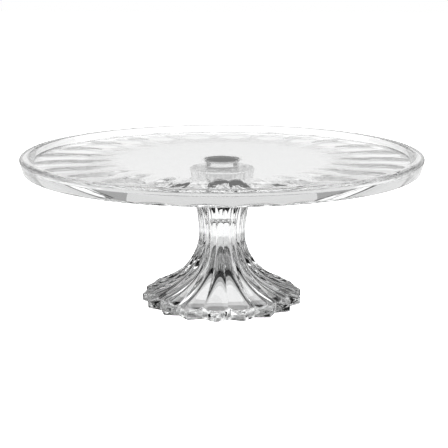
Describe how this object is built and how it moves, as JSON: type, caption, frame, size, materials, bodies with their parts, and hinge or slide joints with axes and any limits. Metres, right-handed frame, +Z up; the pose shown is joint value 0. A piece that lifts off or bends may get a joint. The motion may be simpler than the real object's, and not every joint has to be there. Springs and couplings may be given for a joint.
{
  "type": "cake stand",
  "caption": "Round clear crystal cake stand: flat plate with a low raised lip on a fluted neck, flared petal skirt and star-shaped foot.",
  "frame": {"origin": "on the surface the stand rests on, under the middle of the plate", "axes": "+Z up, along the axis of the neck; -Y towards the front, through one foot point and one plate petal"},
  "size_m": [0.32, 0.32, 0.122],
  "materials": {
    "plate_glass": "fire-polished clear pressed crystal",
    "clear_adhesive": "cured clear adhesive, index-matched to the glass",
    "pedestal_glass": "fire-polished clear pressed crystal"
  },
  "bodies": {
    "root": {"plate": "plate_glass", "bond_layer": "clear_adhesive", "pedestal": "pedestal_glass"}
  },
  "joints": []
}
